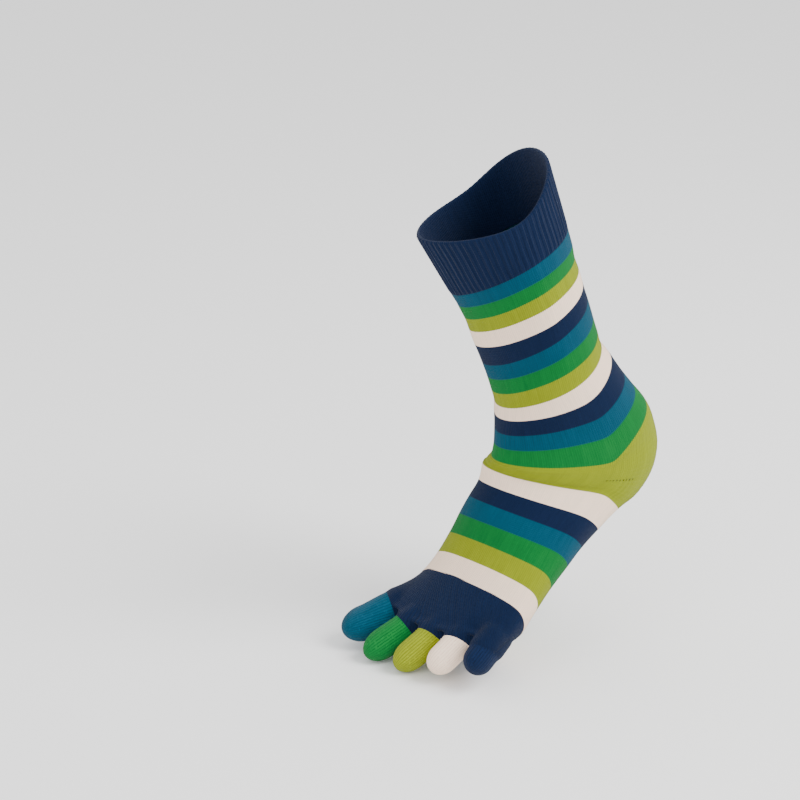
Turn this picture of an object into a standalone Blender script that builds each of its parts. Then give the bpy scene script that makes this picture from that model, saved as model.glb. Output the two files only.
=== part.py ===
"""A knitted crew sock with a separate pocket for each toe, in its worn shape."""
from math import cos, copysign, pi, radians, sin, sqrt

import bmesh
import bpy
from mathutils import Vector

# Driving sizes in metres and degrees
LEG_LENGTH = 0.185
LEG_DEPTH = 0.080
LEG_WIDTH = 0.080
SHIN_LEAN = 21.0
FOOT_LENGTH = 0.115
FOOT_HEIGHT = 0.060
BALL_WIDTH = 0.094
FOOT_PITCH = 44.0
WALL = 0.0015
CUFF_WALL = 0.0024
YARN_GAP = 0.0003
STUB_OVERRUN = 0.002
HEM_OVERRUN = 0.004

# Shape constants
SHARP_ANGLE = 50.0
SEGMENTS = 36
TOE_SEGMENTS = 16
HEEL_STEPS = 8
CUFF_STEPS = 2

# The yarns, by slot
YARNS = {
    "navy_yarn": (0.008, 0.030, 0.085),
    "teal_yarn": (0.004, 0.130, 0.210),
    "green_yarn": (0.012, 0.270, 0.040),
    "lime_yarn": (0.340, 0.390, 0.035),
    "cream_yarn": (0.760, 0.700, 0.610),
}

# Cross-sections of the leg and the foot, from the cuff's rim to the toe line.
# Along is a share of LEG_LENGTH or FOOT_LENGTH from the heel hinge, across a share of LEG_DEPTH or
# FOOT_HEIGHT toward the instep, and width, crest and shift shares of LEG_WIDTH or BALL_WIDTH.
# frame, front along, front across, side along, side across, back along, back across,
# half width, crest, shift, front power, back power, tilt, roll, bow, softness
SECTIONS = {
    "rim": ("leg", 0.951, 0.581, 0.914, -0.05, 1.045, -0.513, 0.525, 0, -0.075, 1.8, 2.1, 0.02, 0, 0, 0.35),
    "edge_0": ("leg", 0.741, 0.5, 0.784, -0.063, 0.811, -0.475, 0.5, 0, -0.063, 1.7, 2.2, 0.1, 0, 0, 0.35),
    "edge_1": ("leg", 0.695, 0.481, 0.735, -0.063, 0.757, -0.463, 0.488, 0, -0.056, 1.7, 2.2, 0.09, 0, 0, 0.35),
    "edge_2": ("leg", 0.649, 0.469, 0.689, -0.063, 0.716, -0.45, 0.475, 0, -0.05, 1.7, 2.2, 0.08, 0, 0, 0.35),
    "edge_3": ("leg", 0.603, 0.469, 0.638, -0.063, 0.676, -0.45, 0.463, 0, -0.044, 1.7, 2.2, 0.07, 0, 0, 0.35),
    "edge_4": ("leg", 0.549, 0.469, 0.581, -0.063, 0.627, -0.444, 0.456, 0, -0.038, 1.7, 2.2, 0.05, 0, 0, 0.35),
    "edge_5": ("leg", 0.481, 0.469, 0.53, -0.063, 0.576, -0.438, 0.45, 0, -0.031, 1.7, 2.2, 0.03, 0, 0, 0.35),
    "edge_6": ("leg", 0.43, 0.469, 0.473, -0.063, 0.508, -0.428, 0.444, 0, -0.025, 1.7, 2.2, 0.02, 0, 0, 0.35),
    "edge_7": ("leg", 0.381, 0.481, 0.419, -0.063, 0.454, -0.419, 0.438, 0, -0.013, 1.7, 2.2, 0.01, 0, 0, 0.33),
    "edge_8": ("leg", 0.335, 0.488, 0.359, -0.05, 0.408, -0.406, 0.431, 0, 0, 1.8, 2.2, 0, 0, 0, 0.3),
    "edge_9": ("leg", 0.298, 0.519, 0.284, -0.09, 0.359, -0.438, 0.425, 0, 0, 1.9, 2.4, 0, 0, 0, 0.22),
    "edge_10": ("leg", 0.251, 0.556, 0.218, -0.11, 0.276, -0.481, 0.425, 0, 0, 1.9, 2.5, 0, 0, 0, 0.14),
    "edge_11": ("leg", 0.207, 0.6, 0.143, -0.12, 0.216, -0.525, 0.425, 0, 0, 1.9, 2.6, 0, 0, 0, 0.1),
    "edge_12": ("leg", 0.168, 0.656, 0.05, -0.09, 0.151, -0.575, 0.425, 0, 0, 1.9, 2.8, 0, 0, 0, 0.08),
    "heel_1": ("leg", 0.163, 0.668, 0.035, -0.06, 0.07, -0.606, 0.425, 0, 0, 2, 2.3, 0, 0, 0, 0.08),
    "heel_2": ("leg", 0.158, 0.68, 0.018, -0.03, -0.022, -0.581, 0.419, -0.013, 0, 2, 2.3, 0, 0, 0, 0.08),
    "heel_3": ("leg", 0.153, 0.693, 0, 0, -0.108, -0.463, 0.413, -0.025, 0, 2, 2.3, 0, 0, 0, 0.1),
    "heel_4": ("leg", 0.148, 0.706, -0.016, 0.013, -0.162, -0.275, 0.406, -0.038, 0, 2, 2.4, 0, 0, 0, 0.12),
    "edge_13": ("foot", 0.37, 0.783, 0.062, -0.1, 0.078, -0.533, 0.34, -0.043, 0, 2, 2.5, -0.05, 0, 0, 0.16),
    "edge_14": ("foot", 0.435, 0.692, 0.235, -0.108, 0.248, -0.508, 0.34, -0.053, 0.021, 2, 2.5, -0.15, 0, 0, 0.28),
    "edge_15": ("foot", 0.524, 0.647, 0.37, -0.11, 0.393, -0.468, 0.356, -0.064, 0.037, 1.9, 2.6, -0.2, 0, 0, 0.35),
    "edge_16": ("foot", 0.614, 0.584, 0.49, -0.113, 0.546, -0.438, 0.383, -0.085, 0.064, 1.9, 2.6, -0.24, 0, 0, 0.35),
    "edge_17": ("foot", 0.705, 0.492, 0.628, -0.105, 0.73, -0.43, 0.41, -0.106, 0.074, 1.8, 2.6, -0.28, 0, 0, 0.35),
    "edge_18": ("foot", 0.798, 0.421, 0.765, -0.107, 0.885, -0.415, 0.436, -0.128, 0.101, 1.8, 2.7, -0.32, 0, 0, 0.35),
    "edge_19": ("foot", 0.905, 0.383, 0.9, -0.11, 1.04, -0.427, 0.457, -0.149, 0.117, 1.8, 2.8, -0.35, 0, 0, 0.35),
    "ball": ("foot", 1.038, 0.318, 1.03, -0.02, 1.12, -0.3, 0.47, -0.1, 0.122, 2.1, 2.5, -0.36, -0.13, 0.04, 0.35),
    "toe_line": ("foot", 1.175, 0.27, 1.175, 0.07, 1.19, -0.11, 0.47, -0.04, 0.128, 2.5, 2.6, -0.38, -0.26, 0.11, 0.35),
}

# The knitted bands, from the cuff down: node, first section, last section, yarn, wall, steps
BANDS = (
    ("cuff", "rim", "edge_0", "navy_yarn", CUFF_WALL, CUFF_STEPS),
    ("leg_band_01", "edge_0", "edge_1", "teal_yarn", WALL, 1),
    ("leg_band_02", "edge_1", "edge_2", "green_yarn", WALL, 1),
    ("leg_band_03", "edge_2", "edge_3", "lime_yarn", WALL, 1),
    ("leg_band_04", "edge_3", "edge_4", "cream_yarn", WALL, 1),
    ("leg_band_05", "edge_4", "edge_5", "navy_yarn", WALL, 1),
    ("leg_band_06", "edge_5", "edge_6", "teal_yarn", WALL, 1),
    ("leg_band_07", "edge_6", "edge_7", "green_yarn", WALL, 1),
    ("leg_band_08", "edge_7", "edge_8", "lime_yarn", WALL, 1),
    ("leg_band_09", "edge_8", "edge_9", "cream_yarn", WALL, 1),
    ("leg_band_10", "edge_9", "edge_10", "navy_yarn", WALL, 1),
    ("leg_band_11", "edge_10", "edge_11", "teal_yarn", WALL, 1),
    ("leg_band_12", "edge_11", "edge_12", "green_yarn", WALL, 1),
    ("heel_pocket", "edge_12", "edge_13", "lime_yarn", WALL, HEEL_STEPS),
    ("foot_band_01", "edge_13", "edge_14", "cream_yarn", WALL, 1),
    ("foot_band_02", "edge_14", "edge_15", "navy_yarn", WALL, 1),
    ("foot_band_03", "edge_15", "edge_16", "teal_yarn", WALL, 1),
    ("foot_band_04", "edge_16", "edge_17", "green_yarn", WALL, 1),
    ("foot_band_05", "edge_17", "edge_18", "lime_yarn", WALL, 1),
    ("foot_band_06", "edge_18", "edge_19", "cream_yarn", WALL, 1),
)

# The toes, in the foot's frame: sides, half widths and half heights as shares of BALL_WIDTH, along of
# FOOT_LENGTH, across of FOOT_HEIGHT. The pocket's own yarn begins at a share of the toe's length, and
# skew is how much further forward that edge lies on the toe's left than on its axis.
# node, root side, root along, root across, tip side, tip along, tip across, half width, half height,
# pocket start, skew, yarn
TOES = (
    ("big_toe", -0.223, 1.229, 0.143, -0.287, 1.545, 0.475, 0.1223, 0.1194, 0.20, 0.00, "teal_yarn"),
    ("second_toe", -0.011, 1.235, 0.178, -0.043, 1.544, 0.310, 0.0937, 0.1040, 0.17, -0.04, "green_yarn"),
    ("third_toe", 0.181, 1.173, 0.087, 0.160, 1.469, 0.147, 0.0872, 0.1031, 0.19, -0.12, "lime_yarn"),
    ("fourth_toe", 0.351, 1.098, -0.005, 0.362, 1.344, 0.033, 0.0850, 0.1013, 0.21, -0.16, "cream_yarn"),
    ("little_toe", 0.511, 0.993, -0.108, 0.564, 1.202, -0.092, 0.0904, 0.1049, 0.40, -0.10, "navy_yarn"),
)

# How a toe is rounded: share of the length, share of the half sizes
TOE_PROFILE = (
    (0.00, 0.93),
    (0.20, 0.97),
    (0.45, 1.00),
    (0.66, 0.98),
    (0.80, 0.88),
    (0.91, 0.67),
    (0.98, 0.34),
)

# How a toe's root widens into the foot: share of the toe's length, share of the half width
TOE_ROOT = (
    (-0.32, 0.90),
    (-0.16, 1.10),
)

# The last ring before the pocket's edge: share of the toe's length behind it, share of the half width
TOE_NECK = (0.06, 1.10)

# How the foot closes in front of the toe line: share of the section, reach as a share of FOOT_LENGTH
FOOT_CAP = (
    (0.93, 0.020),
    (0.78, 0.038),
    (0.50, 0.050),
    (0.00, 0.054),
)


def axes(frame):
    """The along and across directions of a frame, as (forward, up) pairs, and its three sizes."""
    if frame == "leg":
        lean = radians(SHIN_LEAN)
        return (sin(lean), cos(lean)), (cos(lean), -sin(lean)), (LEG_LENGTH, LEG_DEPTH, LEG_WIDTH)
    pitch = radians(FOOT_PITCH)
    return (cos(pitch), -sin(pitch)), (sin(pitch), cos(pitch)), (FOOT_LENGTH, FOOT_HEIGHT, BALL_WIDTH)


def resolve(name):
    """A section's row turned into lengths: front, side and back points and the rest."""
    frame, fa, fc, sa, sc, ba, bc, width, crest, shift, fp, bp, tilt, roll, bow, softness = SECTIONS[name]
    along, across, (length, depth, breadth) = axes(frame)

    def point(a, c):
        return (along[0] * a * length + across[0] * c * depth, along[1] * a * length + across[1] * c * depth)

    slope = (along[0] * tilt + across[0] * roll, along[1] * tilt + across[1] * roll)
    front = point(fa, fc)
    side = point(sa, sc)
    back = point(ba, bc)
    curve = (-along[0] * bow * length, -along[1] * bow * length)
    return (*front, *side, *back, width * breadth, crest * breadth, shift * breadth, fp, bp, *slope, *curve,
            softness)


RESOLVED = [resolve(name) for name in SECTIONS]
PLACES = {name: index for index, name in enumerate(SECTIONS)}


def blended(place):
    """The section at a fractional place in the table, through a smooth curve."""
    last = len(RESOLVED) - 1
    low = min(max(int(place), 0), last - 1)
    part = place - low
    rows = [RESOLVED[min(max(low + k, 0), last)] for k in (-1, 0, 1, 2)]
    values = []
    for p0, p1, p2, p3 in zip(*rows):
        rise = (p2 - p0) / 2
        fall = (p3 - p1) / 2
        cube = 2 * p1 - 2 * p2 + rise + fall
        square = 3 * p2 - 3 * p1 - 2 * rise - fall
        values.append(((cube * part + square) * part + rise) * part + p1)
    return values


def on_section(values, turn):
    """The point of a section at a turn from the front, through the wearer's left side."""
    fr, fu, sr, su, br, bu, width, crest, shift, fp, bp, slope_r, slope_u, curve_r, curve_u, softness = values
    c = cos(turn)
    s = sin(turn)
    power = fp if c > 0 else bp
    cc = copysign(abs(c) ** (2 / power), c)
    ss = copysign(abs(s) ** (2 / power), s)
    norm = 2 / (1 + sqrt(1 + softness ** 2))
    root = sqrt(cc * cc + softness ** 2)
    pf = (cc + root) / 2 * norm
    pb = (root - cc) / 2 * norm
    side = shift + crest * pf + width * ss
    lean = side - shift
    bend = (lean / width) ** 2
    forward = sr + (fr - sr) * pf + (br - sr) * pb + slope_r * lean + curve_r * bend
    up = su + (fu - su) * pf + (bu - su) * pb + slope_u * lean + curve_u * bend
    return Vector((side, -forward, up))


def opening_centre():
    """The middle of the leg opening, which is the part's origin."""
    ring = [on_section(RESOLVED[0], 2 * pi * k / SEGMENTS) for k in range(SEGMENTS)]
    low = Vector(min(p[i] for p in ring) for i in range(3))
    high = Vector(max(p[i] for p in ring) for i in range(3))
    return (low + high) / 2


ORIGIN = opening_centre()


def surface(place, turn):
    """A point of the sock's outside."""
    return on_section(blended(place), turn) - ORIGIN


def outward(place, turn):
    """The outward direction of the sock's outside."""
    step = 0.02
    last = len(RESOLVED) - 1
    down = surface(min(place + step, last), turn) - surface(max(place - step, 0), turn)
    around = surface(place, turn + step) - surface(place, turn - step)
    return down.cross(around).normalized()


def inset_ring(place, depth, push):
    """A ring of points at a depth under the outside, pushed down the sock by a length."""
    ring = []
    last = len(RESOLVED) - 1
    for k in range(SEGMENTS):
        turn = 2 * pi * k / SEGMENTS
        low = max(place - 0.05, 0)
        high = min(place + 0.05, last)
        down = (surface(high, turn) - surface(low, turn)).normalized()
        normal = outward(place, turn)
        ring.append(surface(place, turn) - normal * depth + down * push)
    return ring


def material(slot):
    """One Principled material for each yarn."""
    found = bpy.data.materials.get(slot)
    if found:
        return found
    made = bpy.data.materials.new(slot)
    made.use_nodes = True
    shader = made.node_tree.nodes["Principled BSDF"]
    shader.inputs["Base Color"].default_value = (*YARNS[slot], 1.0)
    shader.inputs["Roughness"].default_value = 0.9
    return made


def solid(name, rings, slot, closed_loop=False, tip=None, tail=None):
    """A closed body lofted through rings, joined end to end or capped by a point at either end."""
    mesh = bmesh.new()
    rows = [[mesh.verts.new(point) for point in ring] for ring in rings]
    count = len(rows[0])
    pairs = list(zip(rows, rows[1:]))
    if closed_loop:
        pairs.append((rows[-1], rows[0]))
    for upper, lower in pairs:
        for k in range(count):
            following = (k + 1) % count
            mesh.faces.new((upper[k], upper[following], lower[following], lower[k]))
    for end, ring in ((tail, rows[0]), (tip, rows[-1])):
        if end is not None:
            pole = mesh.verts.new(end)
            for k in range(count):
                mesh.faces.new((ring[k], ring[(k + 1) % count], pole))
    bmesh.ops.recalc_face_normals(mesh, faces=mesh.faces)
    data = bpy.data.meshes.new(name)
    mesh.to_mesh(data)
    mesh.free()
    made = bpy.data.objects.new(name, data)
    bpy.context.scene.collection.objects.link(made)
    data.materials.append(material(slot))
    for face in data.polygons:
        face.use_smooth = True
    data.set_sharp_from_angle(angle=radians(SHARP_ANGLE))
    return made


def make_band(node, first, last, slot, wall, steps):
    """A tube of knitting between two sections, with a flat edge at each end."""
    begin = PLACES[first]
    end = PLACES[last]
    places = [begin + (end - begin) * k / steps for k in range(steps + 1)]
    pushes = [YARN_GAP / 2 if begin else 0.0] + [0.0] * (steps - 1) + [-YARN_GAP / 2]
    outer = [inset_ring(place, 0.0, push) for place, push in zip(places, pushes)]
    inner = [inset_ring(place, wall, push) for place, push in zip(places, pushes)]
    return solid(node, outer + inner[::-1], slot, closed_loop=True)


def toe_frame(row):
    """A toe's root, direction, length, side and top directions and half sizes."""
    along, across, (length, height, breadth) = axes("foot")
    _, root_side, root_along, root_across, tip_side, tip_along, tip_across, half_width, half_height = row[:9]

    def point(side, a, c):
        forward = along[0] * a * length + across[0] * c * height
        up = along[1] * a * length + across[1] * c * height
        return Vector((side * breadth, -forward, up)) - ORIGIN

    root = point(root_side, root_along, root_across)
    tip = point(tip_side, tip_along, tip_across)
    direction = (tip - root).normalized()
    side = Vector((0, 0, 1)).cross(direction).normalized()
    top = direction.cross(side)
    return root, direction, (tip - root).length, side, top, half_width * breadth, half_height * breadth


def toe_scale(share):
    """The share of the half sizes at a share of the toe's length."""
    for (a0, r0), (a1, r1) in zip(TOE_PROFILE, TOE_PROFILE[1:]):
        if share <= a1:
            return r0 + (r1 - r0) * max(share - a0, 0) / (a1 - a0)
    return TOE_PROFILE[-1][1]


def toe_ring(row, share, depth, push=0.0, skew=0.0, widening=1.0):
    """A ring of a toe at a share of its length, at a depth under the outside."""
    root, direction, length, side, top, half_width, half_height = toe_frame(row)
    scale = toe_scale(share)
    wide = max(half_width * scale * widening - depth, WALL / 3)
    high = max(half_height * scale - depth, WALL / 3)
    ring = []
    slant = skew * wide / half_width
    for k in range(TOE_SEGMENTS):
        turn = 2 * pi * k / TOE_SEGMENTS
        centre = root + direction * (length * (share + slant * cos(turn)) + push)
        ring.append(centre + side * (wide * cos(turn)) + top * (high * sin(turn)))
    return ring


def make_toe_pocket(row):
    """A toe's own pocket: a thin round-ended cup, open toward the foot."""
    node, start, skew, slot = row[0], *row[9:]
    root, direction, length = toe_frame(row)[:3]
    shares = [share for share, _ in TOE_PROFILE if share > start + abs(skew) + 0.05]
    reach = (length - WALL) / length
    outer = [toe_ring(row, start, 0.0, YARN_GAP / 2, skew)] + [toe_ring(row, share, 0.0) for share in shares]
    inner = [toe_ring(row, start, WALL, YARN_GAP / 2, skew)]
    inner += [toe_ring(row, share * reach, WALL) for share in shares]
    return solid(node, inner[::-1] + outer, slot, tip=root + direction * length,
                 tail=root + direction * (length * reach))


def toe_stub(row, depth, overrun):
    """The start of a toe, from a wider root inside the foot to its pocket."""
    start, skew = row[9:11]
    root, direction, length = toe_frame(row)[:3]
    rings = [toe_ring(row, share, depth, widening=widening) for share, widening in TOE_ROOT]
    rings.append(toe_ring(row, start - TOE_NECK[0], depth, 0.0, skew, TOE_NECK[1]))
    rings.append(toe_ring(row, start, depth, overrun, skew))
    return solid(row[0] + "_stub", rings, "navy_yarn", tip=root + direction * (length * start + overrun),
                 tail=root + direction * (length * TOE_ROOT[0][0]))


def foot_bag(depth, overrun):
    """The foot's front end as a closed bag that starts at the last stripe."""
    start = PLACES["edge_19"]
    end = PLACES["toe_line"]
    places = [start, start + 0.5, start + 1.0, start + 1.5, end]
    rings = [inset_ring(place, depth, overrun if place == start else 0.0) for place in places]
    rings.insert(0, inset_ring(start, depth + WALL + YARN_GAP, overrun))
    middle = sum(rings[-1], Vector()) / SEGMENTS
    before = sum(rings[-3], Vector()) / SEGMENTS
    onward = (middle - before).normalized()
    front = rings[-1]
    for share, reach in FOOT_CAP[:-1]:
        onset = onward * (FOOT_LENGTH * reach - depth / 2)
        rings.append([middle + (point - middle) * share + onset for point in front])
    tip = middle + onward * (FOOT_LENGTH * FOOT_CAP[-1][1] - depth / 2)
    return solid("foot_bag", rings, "navy_yarn", tip=tip, tail=sum(rings[0], Vector()) / SEGMENTS)


def combine(base, tools, operation):
    """Applies a Boolean of several tools to a base and removes the tools."""
    for tool in tools:
        tool.display_type = "WIRE"
        tool.hide_render = True
        change = base.modifiers.new(operation.lower(), "BOOLEAN")
        change.operation = operation
        change.solver = "EXACT"
        change.object = tool
        bpy.context.view_layer.objects.active = base
        bpy.ops.object.modifier_apply(modifier=change.name)
        bpy.data.objects.remove(tool, do_unlink=True)
    return base


def make_forefoot():
    """The ball of the foot with the five toe openings, hollow and open at the last stripe."""
    shell = foot_bag(0.0, YARN_GAP / 2)
    shell = combine(shell, [toe_stub(row, 0.0, -YARN_GAP / 2) for row in TOES], "UNION")
    hollow = foot_bag(WALL, -HEM_OVERRUN)
    hollow = combine(hollow, [toe_stub(row, WALL, STUB_OVERRUN) for row in TOES], "UNION")
    shell = combine(shell, [hollow], "DIFFERENCE")
    shell.name = "forefoot"
    shell.data.name = "forefoot"
    for face in shell.data.polygons:
        face.use_smooth = True
    shell.data.set_sharp_from_angle(angle=radians(SHARP_ANGLE))
    return shell


def main():
    """Builds every piece of the sock."""
    for item in list(bpy.data.objects):
        bpy.data.objects.remove(item, do_unlink=True)
    for row in BANDS:
        make_band(*row)
    make_forefoot()
    for row in TOES:
        make_toe_pocket(row)


main()
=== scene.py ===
"""A knitted crew sock with a pocket for each toe, dressed over its CAD frame."""
import logging
from dataclasses import dataclass, field
from enum import Enum
from math import cos, pi, radians, sin

import bmesh
import bpy
import numpy as np
from mathutils import Matrix, Vector
from mathutils.kdtree import KDTree


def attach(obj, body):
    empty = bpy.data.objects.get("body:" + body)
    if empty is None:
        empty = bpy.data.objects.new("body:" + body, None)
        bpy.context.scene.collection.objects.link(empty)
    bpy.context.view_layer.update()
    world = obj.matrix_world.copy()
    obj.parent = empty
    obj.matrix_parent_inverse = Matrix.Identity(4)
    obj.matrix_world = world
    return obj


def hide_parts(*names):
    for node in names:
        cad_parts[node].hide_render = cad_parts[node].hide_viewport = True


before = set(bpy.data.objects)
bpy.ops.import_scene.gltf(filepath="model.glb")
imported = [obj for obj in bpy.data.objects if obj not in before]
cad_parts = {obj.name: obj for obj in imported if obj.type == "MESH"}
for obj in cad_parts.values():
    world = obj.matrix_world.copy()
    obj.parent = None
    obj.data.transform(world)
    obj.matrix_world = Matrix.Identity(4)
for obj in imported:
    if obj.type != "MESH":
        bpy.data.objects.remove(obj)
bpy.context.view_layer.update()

LOG = logging.getLogger("toe_sock")

# Driving sizes of the sock, in metres and degrees
LEG_LENGTH = 0.185
LEG_DEPTH = 0.080
LEG_WIDTH = 0.080
SHIN_LEAN = 21.0
FOOT_LENGTH = 0.115
FOOT_HEIGHT = 0.060
BALL_WIDTH = 0.094
FOOT_PITCH = 44.0
WALL = 0.0015
CUFF_WALL = 0.0024

# The knitting: columns of stitches around the sock, and lengths in metres
WALES = 192
COURSE = 0.00125
STITCH_TICK = 0.00016

# The heel's turning line: its row in the table of sections, and the turns between which its eyelets lie
GORE_PLACE = 16.0
GORE_TURNS = (88.0, 114.0)

# How finely the pieces are meshed, and the angles beyond which their edges stay sharp
AROUND = 4 * WALES
OUTER_STEP = 0.0012
INNER_STEP = 0.004
CAD_SEGMENTS = 36
FINE_TURNS = 1441
BAND_SHARPNESS = 50.0
TOE_SHARPNESS = 60.0

# Cross-sections of the leg and the foot, from the cuff's rim to the toe line.
# Along is a share of LEG_LENGTH or FOOT_LENGTH from the heel hinge, across a share of LEG_DEPTH or
# FOOT_HEIGHT toward the instep, and width, crest and shift shares of LEG_WIDTH or BALL_WIDTH.
# frame, front along, front across, side along, side across, back along, back across,
# half width, crest, shift, front power, back power, tilt, roll, bow, softness
SECTIONS = {
    "rim": ("leg", 0.951, 0.581, 0.914, -0.05, 1.045, -0.513,
        0.525, 0, -0.075, 1.8, 2.1, 0.02, 0, 0, 0.35),
    "edge_0": ("leg", 0.741, 0.5, 0.784, -0.063, 0.811, -0.475,
        0.5, 0, -0.063, 1.7, 2.2, 0.1, 0, 0, 0.35),
    "edge_1": ("leg", 0.695, 0.481, 0.735, -0.063, 0.757, -0.463,
        0.488, 0, -0.056, 1.7, 2.2, 0.09, 0, 0, 0.35),
    "edge_2": ("leg", 0.649, 0.469, 0.689, -0.063, 0.716, -0.45,
        0.475, 0, -0.05, 1.7, 2.2, 0.08, 0, 0, 0.35),
    "edge_3": ("leg", 0.603, 0.469, 0.638, -0.063, 0.676, -0.45,
        0.463, 0, -0.044, 1.7, 2.2, 0.07, 0, 0, 0.35),
    "edge_4": ("leg", 0.549, 0.469, 0.581, -0.063, 0.627, -0.444,
        0.456, 0, -0.038, 1.7, 2.2, 0.05, 0, 0, 0.35),
    "edge_5": ("leg", 0.481, 0.469, 0.53, -0.063, 0.576, -0.438,
        0.45, 0, -0.031, 1.7, 2.2, 0.03, 0, 0, 0.35),
    "edge_6": ("leg", 0.43, 0.469, 0.473, -0.063, 0.508, -0.428,
        0.444, 0, -0.025, 1.7, 2.2, 0.02, 0, 0, 0.35),
    "edge_7": ("leg", 0.381, 0.481, 0.419, -0.063, 0.454, -0.419,
        0.438, 0, -0.013, 1.7, 2.2, 0.01, 0, 0, 0.33),
    "edge_8": ("leg", 0.335, 0.488, 0.359, -0.05, 0.408, -0.406,
        0.431, 0, 0, 1.8, 2.2, 0, 0, 0, 0.3),
    "edge_9": ("leg", 0.298, 0.519, 0.284, -0.09, 0.359, -0.438,
        0.425, 0, 0, 1.9, 2.4, 0, 0, 0, 0.22),
    "edge_10": ("leg", 0.251, 0.556, 0.218, -0.11, 0.276, -0.481,
        0.425, 0, 0, 1.9, 2.5, 0, 0, 0, 0.14),
    "edge_11": ("leg", 0.207, 0.6, 0.143, -0.12, 0.216, -0.525,
        0.425, 0, 0, 1.9, 2.6, 0, 0, 0, 0.1),
    "edge_12": ("leg", 0.168, 0.656, 0.05, -0.09, 0.151, -0.575,
        0.425, 0, 0, 1.9, 2.8, 0, 0, 0, 0.08),
    "heel_1": ("leg", 0.163, 0.668, 0.035, -0.06, 0.07, -0.606,
        0.425, 0, 0, 2, 2.3, 0, 0, 0, 0.08),
    "heel_2": ("leg", 0.158, 0.68, 0.018, -0.03, -0.022, -0.581,
        0.419, -0.013, 0, 2, 2.3, 0, 0, 0, 0.08),
    "heel_3": ("leg", 0.153, 0.693, 0, 0, -0.108, -0.463,
        0.413, -0.025, 0, 2, 2.3, 0, 0, 0, 0.1),
    "heel_4": ("leg", 0.148, 0.706, -0.016, 0.013, -0.162, -0.275,
        0.406, -0.038, 0, 2, 2.4, 0, 0, 0, 0.12),
    "edge_13": ("foot", 0.37, 0.783, 0.062, -0.1, 0.078, -0.533,
        0.34, -0.043, 0, 2, 2.5, -0.05, 0, 0, 0.16),
    "edge_14": ("foot", 0.435, 0.692, 0.235, -0.108, 0.248, -0.508,
        0.34, -0.053, 0.021, 2, 2.5, -0.15, 0, 0, 0.28),
    "edge_15": ("foot", 0.524, 0.647, 0.37, -0.11, 0.393, -0.468,
        0.356, -0.064, 0.037, 1.9, 2.6, -0.2, 0, 0, 0.35),
    "edge_16": ("foot", 0.614, 0.584, 0.49, -0.113, 0.546, -0.438,
        0.383, -0.085, 0.064, 1.9, 2.6, -0.24, 0, 0, 0.35),
    "edge_17": ("foot", 0.705, 0.492, 0.628, -0.105, 0.73, -0.43,
        0.41, -0.106, 0.074, 1.8, 2.6, -0.28, 0, 0, 0.35),
    "edge_18": ("foot", 0.798, 0.421, 0.765, -0.107, 0.885, -0.415,
        0.436, -0.128, 0.101, 1.8, 2.7, -0.32, 0, 0, 0.35),
    "edge_19": ("foot", 0.905, 0.383, 0.9, -0.11, 1.04, -0.427,
        0.457, -0.149, 0.117, 1.8, 2.8, -0.35, 0, 0, 0.35),
    "ball": ("foot", 1.038, 0.318, 1.03, -0.02, 1.12, -0.3,
        0.47, -0.1, 0.122, 2.1, 2.5, -0.36, -0.13, 0.04, 0.35),
    "toe_line": ("foot", 1.175, 0.27, 1.175, 0.07, 1.19, -0.11,
        0.47, -0.04, 0.128, 2.5, 2.6, -0.38, -0.26, 0.11, 0.35),
}


class Stitch(Enum):
    """How a piece is knitted."""

    PLAIN = "plain"
    RIB = "rib"
    HEEL = "heel"
    TOE = "toe"


@dataclass(frozen=True)
class Yarn:
    """A dyed cotton yarn."""

    slot: str
    colour: tuple[float, float, float]
    variation: float = 0.16
    sheen: float = 0.05


NAVY = Yarn("navy_yarn", (0.0008, 0.0078, 0.0335), 0.18)
TEAL = Yarn("teal_yarn", (0.0008, 0.0520, 0.0900))
GREEN = Yarn("green_yarn", (0.0010, 0.1330, 0.0230))
LIME = Yarn("lime_yarn", (0.2060, 0.2450, 0.0065))
CREAM = Yarn("cream_yarn", (0.9500, 0.7300, 0.5700), 0.07)


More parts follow.
